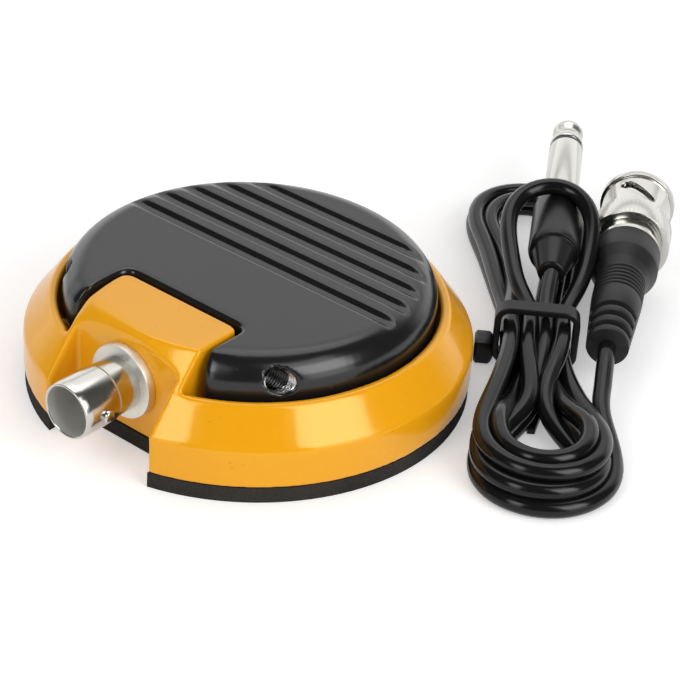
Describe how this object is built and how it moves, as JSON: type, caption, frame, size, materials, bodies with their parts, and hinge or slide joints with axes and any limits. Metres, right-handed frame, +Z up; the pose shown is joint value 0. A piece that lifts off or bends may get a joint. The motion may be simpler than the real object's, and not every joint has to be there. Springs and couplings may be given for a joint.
{
  "type": "foot pedal switch",
  "caption": "Round foot pedal switch with a yellow cast base, a black grooved treadle on a hinge, a bayonet jack and a separate tied lead",
  "frame": {"origin": "middle of the pad's underside, under the centre of the round base", "axes": "+Z up, jack towards -Y, hinge axis along X"},
  "size_m": [0.1029, 0.1397, 0.0215],
  "materials": {
    "yellow_paint": "gloss",
    "foam": "matte",
    "black_metal": "satin",
    "nickel": "polished",
    "steel": "satin",
    "gold_brass": "polished",
    "white_plastic": "matte",
    "board": "matte",
    "wire_red": "gloss",
    "cord_black": "gloss",
    "tie_black": "satin",
    "handle_black": "gloss",
    "boot_rubber": "satin"
  },
  "bodies": {
    "base": {"base_casting": "yellow_paint", "floor_pad": "foam", "jack_shell": "nickel", "jack_insulator": "white_plastic", "jack_contact": "gold_brass", "jack_washer": "steel", "ground_tag": "gold_brass", "jack_nut": "nickel", "contact_board": "board", "fixed_contact": "gold_brass", "board_screws": "steel", "spring_seat": "gold_brass", "return_spring": "steel", "signal_wire": "wire_red", "ground_wire": "cord_black", "lead_hank": "cord_black", "lead_tail_plug": "cord_black", "lead_tail_phone": "cord_black", "cable_tie": "tie_black", "phone_handle": "handle_black", "phone_sleeve": "nickel", "phone_ring": "handle_black", "phone_tip": "nickel", "plug_boot": "boot_rubber", "plug_body": "nickel", "plug_insulator": "white_plastic", "plug_pin": "gold_brass"},
    "treadle": {"treadle": "black_metal", "pivot_screw_left": "steel", "pivot_screw_right": "steel", "contact_screw": "gold_brass", "contact_lock_nut": "steel"},
    "coupling": {"plug_coupling": "nickel"}
  },
  "joints": [
    {"name": "treadle_press", "type": "hinge", "parent": "base", "child": "treadle", "pos_m": [0, -0.0193, 0.0178], "axis": [-1, 0, 0], "range_deg": [0, 3], "stiffness_Nm_per_rad": 2.1, "springref_deg": -2.06, "deforming": ["return_spring"]},
    {"name": "coupling_turn", "type": "hinge", "parent": "base", "child": "coupling", "pos_m": [0.02862, 0.07058, 0.0072], "axis": [-0.4695, 0.8829, 0], "continuous": true}
  ]
}
